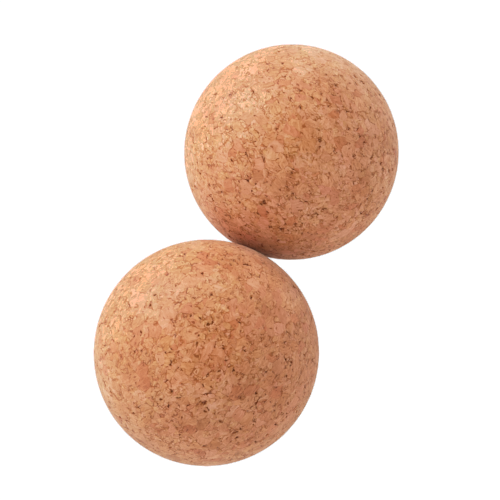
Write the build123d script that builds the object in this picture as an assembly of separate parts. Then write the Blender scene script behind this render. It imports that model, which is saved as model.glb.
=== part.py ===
from build123d import *
import os

# A pair of cork massage balls, resting on a flat surface and just touching.
#
# Each ball is one solid piece of agglomerated cork: bark granules pressed and bonded into a blank,
# which is turned to a sphere and sanded. It has no core, skin, seam, insert or fastener, so the pair
# comes apart on a bench as two solids, front_ball and rear_ball, and each is a body of its own.
#
# Frame, in millimetres: the origin lies on the supporting surface, midway between the two balls.
# +Z is up, and +Y runs from the front ball's centre towards the rear ball's.

# Driving dimensions
ball_diameter = 65.0
gap_between_balls = 0.2  # a hair of clearance where the two balls meet, so that the solids never overlap

# Derived places
ball_radius = ball_diameter / 2
centre_height = ball_radius
centre_offset = ball_radius + gap_between_balls / 2

ball_centres = {
    "front_ball": (0, -centre_offset, centre_height),
    "rear_ball": (0, centre_offset, centre_height),
}


def turned_ball(centre):
    """One solid ball of the driving diameter, with its lathe axis upright through its centre."""
    return Pos(*centre) * Sphere(ball_radius)


os.makedirs("parts", exist_ok=True)
for node, centre in ball_centres.items():
    export_step(turned_ball(centre), f"parts/{node}.step")
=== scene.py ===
import bpy
import bmesh
import math
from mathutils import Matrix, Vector


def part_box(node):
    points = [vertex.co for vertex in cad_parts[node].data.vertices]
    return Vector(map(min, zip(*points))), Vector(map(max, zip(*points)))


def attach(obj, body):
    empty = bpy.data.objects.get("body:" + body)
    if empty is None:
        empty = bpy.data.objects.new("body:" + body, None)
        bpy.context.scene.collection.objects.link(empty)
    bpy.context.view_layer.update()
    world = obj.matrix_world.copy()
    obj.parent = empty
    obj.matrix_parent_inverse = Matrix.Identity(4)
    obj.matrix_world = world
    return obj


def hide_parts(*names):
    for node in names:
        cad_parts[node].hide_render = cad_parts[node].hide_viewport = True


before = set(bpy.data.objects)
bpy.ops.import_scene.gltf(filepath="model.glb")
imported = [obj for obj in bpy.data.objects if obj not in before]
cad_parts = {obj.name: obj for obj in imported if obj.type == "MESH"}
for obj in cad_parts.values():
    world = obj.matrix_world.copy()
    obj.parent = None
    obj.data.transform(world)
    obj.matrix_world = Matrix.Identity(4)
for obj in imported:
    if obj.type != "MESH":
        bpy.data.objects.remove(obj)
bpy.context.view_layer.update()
print("frame loaded")

mm = 0.001  # scene units are metres

# The two balls. shift and turn give each its own cut through the same cork, and tannin makes one ball darker
# than the other.
frontBall = {
    "node": "front_ball",
    "body": "front_ball",
    "slot": "cork_front",
    "piece": "frontBallCork",
    "shift": (-60.0, 56.0, -12.0),  # millimetres
    "turn": (0.35, 0.9, 0.2),
    "tanninAndPoreShade": 0.0,
}
rearBall = {
    "node": "rear_ball",
    "body": "rear_ball",
    "slot": "cork_rear",
    "piece": "rearBallCork",
    "shift": (-48.0, 8.0, 57.0),
    "turn": (1.1, -0.3, 0.6),
    "tanninAndPoreShade": -0.15,
}

# The cork both are turned from. Lengths are in millimetres.
cork = {
    "granule": 3.2,  # width of a whole granule
    "whole": 0.42,  # share of granules left whole; the rest are split into shards or chips
    "shard": 1.3,  # width of a shard
    "stretch": 0.55,  # a shard's width over its length
    "chip": 1.0,
    "chipShare": 0.12,
    "press": 1.25,  # how flat pressing left the granules
    "ragged": 0.8,  # how far granule edges wander
    "frayed": 0.22,  # and how far they fray
    "poreDepth": 0.3,
    "settle": 0.03,  # how far granules stand above or below each other
    "ring": 0.5,  # thickness of a growth ring
    "speck": 0.3,
    "fleck": 0.7,  # size of a bark fleck
    "cloud": 9.0,  # width of a paler or darker area
    "polish": 0.45,
    "colour": (0.55, 0.207, 0.087),
    "stain": (0.62, 0.48, 0.30),  # what one step of tannin, and of the painted pore shade, leaves of red, green and blue
    "tones": ((0.0, 1.0), (0.04, 0.66), (0.3, 0.44), (0.85, 0.3), (1.0, 0.12)),  # share of granules, tannin
    # how much tannin each part of the pattern brings, and how far it stands out in the bump; the pore entry
    # is painted shade in the pits, not tannin
    "tanninAndPoreShade": {
        "granule": 0.9,
        "ring": 1.48,
        "speck": 0.9,
        "cloud": 1.1,
        "ringLine": 0.8,
        "fleck": 1.6,
        "seam": 1.1,
        # painted shade: the pores are darkened in the colour as though shadowed inside
        "pore": 1.9,
        "russet": 0.3,
    },
    "bump": {
        "granule": 0.08,
        "speck": 0.045,
        "ring": 0.1,
        "ringLine": -0.045,
        "seam": -0.07,
        "fleck": -0.04,
        "pore": -0.1,
    },
    "paler": 0.32,  # tannin taken off everywhere
    "cuts": 95,  # cuts along each side of the cube that a ball starts as
}


class Wire:  # one output of a node, for sums in plain Python
    def __init__(self, tree, socket=None):
        self.tree = tree
        self.socket = socket

    def node(self, kind, settings, sockets, out=0):
        made = self.tree.nodes.new(kind)
        for key, value in settings.items():
            if key == "stops":
                while len(made.color_ramp.elements) < len(value):
                    made.color_ramp.elements.new(1.0)
                for stop, (place, colour) in zip(made.color_ramp.elements, value):
                    stop.position = place
                    stop.color = (*colour, 1.0)
            else:
                setattr(made, key, value)
        for key, value in sockets.items():
            if isinstance(value, Wire):
                self.tree.links.new(value.socket, made.inputs[key])
            else:
                made.inputs[key].default_value = value
        return Wire(self.tree, made.outputs[out] if len(made.outputs) else None)  # the last node has none

    def also(self, out):  # another output of the same node
        return Wire(self.tree, self.socket.node.outputs[out])

    def maths(self, operation, *values):
        return self.node("ShaderNodeMath", {"operation": operation}, dict(enumerate(values)))

    def __add__(self, other):
        return self.maths("ADD", self, other)

    def __radd__(self, other):
        return self.maths("ADD", other, self)

    def __sub__(self, other):
        return self.maths("SUBTRACT", self, other)

    def __rsub__(self, other):
        return self.maths("SUBTRACT", other, self)

    def __mul__(self, other):
        return self.maths("MULTIPLY", self, other)

    def __rmul__(self, other):
        return self.maths("MULTIPLY", other, self)

    def size(self):  # without its sign
        return self.maths("ABSOLUTE", self)

    def __rpow__(self, base):
        return self.maths("POWER", base, self)

    def __lt__(self, other):
        return self.maths("LESS_THAN", self, other)

    def __gt__(self, other):
        return self.maths("GREATER_THAN", self, other)

    def fade(self, start, end):  # 0 at start, 1 at end, eased between
        return self.node(
            "ShaderNodeMapRange",
            {"interpolation_type": "SMOOTHSTEP"},
            {"Value": self, "From Min": start, "From Max": end},
        )

    def vector(self, operation, *others):
        return self.node("ShaderNodeVectorMath", {"operation": operation}, dict(enumerate((self, *others))))

    def scaled(self, factor):
        return self.node("ShaderNodeVectorMath", {"operation": "SCALE"}, {0: self, "Scale": factor})

    def parts(self):
        split = self.node("ShaderNodeSeparateXYZ", {}, {0: self})
        return split, split.also(1), split.also(2)

    def mixVector(self, factor, first, second):
        return self.node("ShaderNodeMix", {"data_type": "VECTOR"}, {0: factor, 4: first, 5: second}, out=1)

    def noise(self, place, size, detail=2.0, roughness=0.5):
        return self.node(
            "ShaderNodeTexNoise",
            {},
            {"Vector": place, "Scale": 1.0 / size, "Detail": detail, "Roughness": roughness},
        )

    def turned(self, angles):
        return self.node(
            "ShaderNodeVectorRotate",
            {"rotation_type": "EULER_XYZ"},
            {"Vector": self, "Rotation": angles},
        )

    def cells(self, place, size):  # each cell's own chance colour, and how far its edge is
        sockets = {"Vector": place, "Scale": 1.0 / size}
        chance = self.node("ShaderNodeTexVoronoi", {}, sockets).also(1)
        edge = self.node("ShaderNodeTexVoronoi", {"feature": "DISTANCE_TO_EDGE"}, sockets)
        return chance, edge * size


def ballPlace(node):  # middle and radius
    low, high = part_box(node)
    return (low + high) / 2, (high.z - low.z) / 2


def corkGrain(position, ball):
    # position is a Wire in the frame. Everything below hangs on the point's direction from the ball's
    # middle, so that the relief and the colour agree.
    middle, radius = ballPlace(ball["node"])
    outward = position.vector("SUBTRACT", tuple(middle)).vector("NORMALIZE")
    place = outward.scaled(radius / mm).vector("ADD", ball["shift"])
    pressed = place.turned(ball["turn"]).vector("MULTIPLY", (1.0, 1.0, cork["press"]))
    wander = place.noise(pressed, 2.4, 1.0).also(1).vector("SUBTRACT", (0.5, 0.5, 0.5))
    fray = place.noise(pressed, 0.5, 2.0).also(1).vector("SUBTRACT", (0.5, 0.5, 0.5))
    bent = pressed.vector("ADD", wander.scaled(2 * cork["ragged"]))
    torn = bent.vector("ADD", fray.scaled(2 * cork["frayed"]))

    # A granule is whole, or split into shards one way or another, or into chips.
    chance, edge = place.cells(torn, cork["granule"])
    kind = chance.parts()[2]
    whole, chips = cork["whole"], cork["chipShare"]
    shardsEnd = (1 - whole - chips) / 2
    splits = (
        ((0.4, 0.9, 0.0), (cork["stretch"], 1.0, 1.0), cork["shard"], 0.0, shardsEnd),
        ((1.2, 0.0, 0.7), (1.0, cork["stretch"], 1.0), cork["shard"], shardsEnd, 2 * shardsEnd),
        ((0.0, 0.0, 0.0), (1.0, 1.0, 1.0), cork["chip"], 2 * shardsEnd, 2 * shardsEnd + chips),
    )
    for turn, squeeze, size, fromShare, toShare in splits:
        isThis = (kind > fromShare) * (kind < toShare)
        piece, pieceEdge = place.cells(torn.turned(turn).vector("MULTIPLY", squeeze), size)
        chance = place.mixVector(isThis, chance, piece)
        edge = edge.maths("MINIMUM", edge, pieceEdge + (1 - isThis) * 9)

    patch = place.noise(pressed, 6.0, 1.0)  # open and tight areas
    pinch = place.noise(pressed, 1.6, 1.0)
    pore = (pinch + 0.3 * patch).fade(0.785, 0.87) * edge.fade(0.17, 0.04)
    return {
        "outward": outward,
        "pressed": pressed,
        "bent": bent,
        "torn": torn,
        "chance": chance,
        "edge": edge,
        "pore": pore,
    }


def corkMaterial(ball):
    made = bpy.data.materials.new(ball["piece"])
    made.use_nodes = True
    tree = made.node_tree
    tree.nodes.clear()
    start = Wire(tree)
    grain = corkGrain(start.node("ShaderNodeTexCoord", {}, {}, out="Object"), ball)
    first, second, third = grain["chance"].parts()

    # Growth rings are thin layers that lie their own way in every granule.
    grainWay = grain["chance"].vector("SUBTRACT", (0.5, 0.5, 0.5)).vector("NORMALIZE")
    along = grain["bent"].vector("DOT_PRODUCT", grainWay).also(1)
    layered = grain["torn"].scaled(0.25).vector("ADD", grainWay.scaled(along * 0.75))
    flaked = grain["torn"].scaled(0.5).vector("ADD", grainWay.scaled(along * 0.5))
    rings = start.noise(layered, cork["ring"], 2.0, 0.6)
    ringed = start.noise(grain["torn"], 1.6, 1.0).fade(0.40, 0.62) * second.fade(0.2, 0.5)
    ringLine = (rings - 0.46).size().fade(0.04, 0.0) * ringed
    speck = start.noise(grain["pressed"], cork["speck"], 2.0, 0.7)
    cloud = start.noise(grain["pressed"], cork["cloud"], 2.0)
    blush = cloud.also(1).parts()[1]

    # Tannin darkens and reddens: a lot in bark flecks and along some granule edges. Down in the pores the
    # same darkening is painted shade, standing in for the shadow inside the pits.
    fleck = start.noise(flaked.vector("ADD", (40.0, 0.0, 0.0)), cork["fleck"], 1.0).fade(0.65, 0.73)
    seam = grain["edge"].fade(0.16, 0.03) * start.noise(grain["pressed"], 1.7, 1.0).fade(0.46, 0.64)
    toneOfGranule = first.node(
        "ShaderNodeValToRGB",
        {"stops": [(place, (tone,) * 3) for place, tone in cork["tones"]]},
        {0: first},
    )
    russet = third.fade(0.88, 1.0)  # the odd granule from nearer the bark
    brings = cork["tanninAndPoreShade"]
    tanninAndPoreShade = (
        brings["granule"] * toneOfGranule
        + ball["tanninAndPoreShade"]
        - cork["paler"]
        + brings["ring"] * (0.5 - rings)
        + brings["speck"] * (0.5 - speck)
        + brings["cloud"] * (0.5 - cloud)
        + brings["ringLine"] * ringLine
        + brings["fleck"] * fleck
        + brings["seam"] * seam
        # painted shade down in the pores, darkening the colour as though the pits were shadowed
        + brings["pore"] * grain["pore"]
        + brings["russet"] * russet
    )
    redness = 0.16 * (third - 0.5) + 0.14 * russet + 0.35 * (blush - 0.5)  # takes green and some blue
    ochre = 0.2 * (second - 0.5)  # takes blue alone
    red, green, blue = cork["colour"]
    stain = cork["stain"]
    base = start.node(
        "ShaderNodeCombineColor",
        {},
        {
            0: red * stain[0] ** tanninAndPoreShade,
            1: green * stain[1] ** (tanninAndPoreShade + redness),
            2: blue * stain[2] ** (tanninAndPoreShade + 0.6 * redness + ochre),
        },
    )

    lifts = cork["bump"]
    height = (
        lifts["granule"] * second
        + lifts["speck"] * speck
        + lifts["ring"] * rings
        + lifts["ringLine"] * ringLine
        + lifts["seam"] * seam
        + lifts["fleck"] * fleck
        + lifts["pore"] * grain["pore"]
    )
    polish = cork["polish"] * (1 - grain["pore"]) * (1 - 0.6 * seam)  # sanding leaves the hollows dull
    bump = start.node("ShaderNodeBump", {}, {"Strength": 1.0, "Distance": mm, "Height": height})
    surface = start.node(
        "ShaderNodeBsdfPrincipled",
        {},
        {
            "Base Color": base,
            "Roughness": 0.36 + 0.2 * speck,
            "Normal": bump,
            "IOR": 1.5,
            "Specular IOR Level": 0.0,
            "Coat Weight": polish,
            "Coat Roughness": 0.45,
            "Sheen Weight": 0.26,
            "Sheen Roughness": 0.5,
            "Sheen Tint": (1.0, 0.82, 0.64, 1.0),
        },
    )
    start.node("ShaderNodeOutputMaterial", {}, {"Surface": surface})
    return made


def reliefNodes(ball):
    tree = bpy.data.node_groups.new(ball["piece"] + "Relief", "GeometryNodeTree")
    for way in ("INPUT", "OUTPUT"):
        tree.interface.new_socket("Geometry", in_out=way, socket_type="NodeSocketGeometry")
    start = Wire(tree)
    grain = corkGrain(start.node("GeometryNodeInputPosition", {}, {}), ball)
    level = (grain["chance"].parts()[1] - 0.5) * cork["settle"]
    groove = grain["edge"].fade(0.25, 0.0) * cork["settle"]
    height = (level - groove - grain["pore"] * cork["poreDepth"] - cork["settle"]) * mm
    entry = start.node("NodeGroupInput", {}, {})
    marked = start.node(
        "GeometryNodeStoreNamedAttribute",
        {"data_type": "FLOAT", "domain": "POINT"},
        {"Geometry": entry, "Name": "pore", "Value": grain["pore"]},
    )
    moved = start.node(
        "GeometryNodeSetPosition",
        {},
        {"Geometry": marked, "Offset": grain["outward"].scaled(height)},
    )
    start.node("NodeGroupOutput", {}, {0: moved})
    return tree


def roundOff(shape, middle, radius):  # sets every point on the sphere
    for point in shape.verts:
        point.co = middle + (point.co - middle).normalized() * radius


def seenThrough(piece, nodes):  # the mesh that a node tree makes of the piece
    modifier = piece.modifiers.new("relief", "NODES")
    modifier.node_group = nodes
    graph = bpy.context.evaluated_depsgraph_get()
    made = bpy.data.meshes.new_from_object(piece.evaluated_get(graph), depsgraph=graph)
    piece.modifiers.remove(modifier)
    return made


def makeBall(ball):
    middle, radius = ballPlace(ball["node"])
    shape = bmesh.new()
    bmesh.ops.create_cube(shape, size=2.0)
    bmesh.ops.subdivide_edges(shape, edges=shape.edges[:], cuts=cork["cuts"], use_grid_fill=True)
    for point in shape.verts:  # evens out the squares before they go round
        point.co = Vector([math.tan(c * math.pi / 4) for c in point.co]) + middle
    roundOff(shape, middle, radius)
    mesh = bpy.data.meshes.new(ball["piece"])
    shape.to_mesh(mesh)
    piece = bpy.data.objects.new(ball["piece"], mesh)
    bpy.context.scene.collection.objects.link(piece)

    # The relief is tried out once, to find where the mesh has to be finer.
    nodes = reliefNodes(ball)
    measured = seenThrough(piece, nodes)
    pore = [point.value for point in measured.attributes["pore"].data]
    shape.verts.ensure_lookup_table()
    near = [edge for edge in shape.edges if any(pore[point.index] > 0.02 for point in edge.verts)]
    bmesh.ops.subdivide_edges(shape, edges=near, cuts=1, use_grid_fill=True)
    roundOff(shape, middle, radius)
    print(ball["piece"], "faces", len(shape.faces), "split edges", len(near))
    shape.to_mesh(mesh)
    shape.free()
    piece.data = seenThrough(piece, nodes)
    piece.data.name = ball["piece"]
    piece.data.polygons.foreach_set("use_smooth", [True] * len(piece.data.polygons))
    piece.data.materials.clear()
    piece.data.materials.append(corkMaterial(ball))
    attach(piece, ball["body"])
    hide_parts(ball["node"])
    return piece


# Camera: looks down on the pair from the front, a little to one side.
camera = {"lens": 63.6, "azimuth": 22.5, "elevation": 77.8, "reach": 8.1}  # reach is in ball radii


def makeCamera():
    frontMiddle, radius = ballPlace(frontBall["node"])
    rearMiddle, _ = ballPlace(rearBall["node"])
    aim = (frontMiddle + rearMiddle) / 2
    around, above = math.radians(camera["azimuth"]), math.radians(camera["elevation"])
    back = Vector(
        (
            math.sin(around) * math.cos(above),
            -math.cos(around) * math.cos(above),
            math.sin(above),
        )
    )
    made = bpy.data.objects.new("camera", bpy.data.cameras.new("camera"))
    made.data.lens = camera["lens"]
    made.data.clip_start = radius * 0.1
    made.location = aim + back * camera["reach"] * radius
    made.rotation_euler = (-back).to_track_quat("-Z", "Y").to_euler()
    bpy.context.scene.collection.objects.link(made)
    bpy.context.scene.camera = made
    return aim, back


# Studio: white floor, pale surroundings under a dimmer ceiling, and a bay of soft windows on the far left.
studio = {
    "wallGlow": 1.87,
    "wallLean": 0.2,  # how much brighter the walls are on the left than on the right
    "ceilingGlow": 0.1,
    "ceilingFrom": 0.65,  # height of the ceiling's edge, as the sine of its angle
    "floorSize": 6.0,
    "floorPaint": 0.72,
    "floorGlow": 0.08,  # light of the floor's own
    "windowsAway": 0.9,
    # degrees round from the camera's right, tilt towards the camera, width, height, watts
    "windows": (
        (135, 0.45, 1.1, 0.5, 4.4),
        (105, 0.25, 0.9, 0.4, 2.0),
        (135, 0.1, 1.1, 0.4, 5.4),
    ),
    "rollFrom": 0.4,  # where bright light starts to ease off, as it does on film
    "white": 1.2,  # light that comes out as pure white
}


def makeSurroundings(back):
    world = bpy.data.worlds.new("surroundings")
    world.use_nodes = True
    tree = world.node_tree
    tree.nodes.clear()
    start = Wire(tree)
    way = start.node("ShaderNodeTexCoord", {}, {}, out="Generated")
    leftWay = Vector((back.y, -back.x, 0)).normalized()
    lean = way.vector("DOT_PRODUCT", tuple(leftWay)).also(1) * studio["wallLean"]
    wall = studio["wallGlow"] * (1 + lean)
    edge = studio["ceilingFrom"]
    glow = wall + (studio["ceilingGlow"] - wall) * way.parts()[2].fade(edge - 0.1, edge + 0.1)
    sky = start.node("ShaderNodeBackground", {}, {"Color": (1.0, 1.0, 1.0, 1.0), "Strength": glow})
    start.node("ShaderNodeOutputWorld", {}, {"Surface": sky})
    bpy.context.scene.world = world


def makeFloor():
    shape = bmesh.new()
    bmesh.ops.create_grid(shape, x_segments=1, y_segments=1, size=studio["floorSize"] / 2)
    mesh = bpy.data.meshes.new("floor")
    shape.to_mesh(mesh)
    shape.free()
    floor = bpy.data.objects.new("floor", mesh)
    bpy.context.scene.collection.objects.link(floor)
    paint = bpy.data.materials.new("floorPaint")
    paint.use_nodes = True
    paint.node_tree.nodes.clear()
    start = Wire(paint.node_tree)
    plain = start.node(
        "ShaderNodeBsdfPrincipled",
        {},
        {
            "Base Color": (*(studio["floorPaint"],) * 3, 1.0),
            "Roughness": 0.9,
            "Specular IOR Level": 0.0,
            "Emission Color": (1.0, 1.0, 1.0, 1.0),
            "Emission Strength": studio["floorGlow"],
        },
    )
    blank = start.node("ShaderNodeEmission", {}, {"Strength": studio["white"] * 1.1})
    seen = start.node("ShaderNodeLightPath", {}, {})  # the floor itself is exposed out to white
    shown = start.node("ShaderNodeMixShader", {}, {0: seen, 1: plain, 2: blank})
    start.node("ShaderNodeOutputMaterial", {}, {"Surface": shown})
    mesh.materials.append(paint)


def makeWindows(aim, back):
    rightWay = Vector((-back.y, back.x, 0)).normalized()
    upWay = back.cross(rightWay)
    for degrees, tilt, width, height, watts in studio["windows"]:
        around = math.radians(degrees)
        way = (rightWay * math.cos(around) + upWay * math.sin(around) + back * tilt).normalized()
        light = bpy.data.lights.new("window", "AREA")
        light.shape = "RECTANGLE"
        light.size, light.size_y, light.energy = width, height, watts
        lamp = bpy.data.objects.new("window", light)
        lamp.location = aim + way * studio["windowsAway"]
        lamp.rotation_euler = (-way).to_track_quat("-Z", "Z").to_euler()
        bpy.context.scene.collection.objects.link(lamp)


def setFilm():  # bright light rolls off gently up to white
    view = bpy.context.scene.view_settings
    view.view_transform = "Standard"
    view.use_curve_mapping = True
    mapping = view.curve_mapping
    mapping.clip_max_x = studio["white"]
    curve = mapping.curves[3]
    curve.points[1].location = (studio["white"], 1.0)
    spare = 1.0 - studio["rollFrom"]
    for light in (0.2, 0.4, 0.6, 0.8, 1.0, 1.1):
        over = max(light - studio["rollFrom"], 0.0)
        curve.points.new(light, light - over + spare * (1.0 - math.exp(-over / spare)))
    mapping.update()


aim, back = makeCamera()
print("camera set")
for ball in (frontBall, rearBall):
    makeBall(ball)
print("balls made")
makeSurroundings(back)
makeFloor()
makeWindows(aim, back)
setFilm()
print("studio lit")
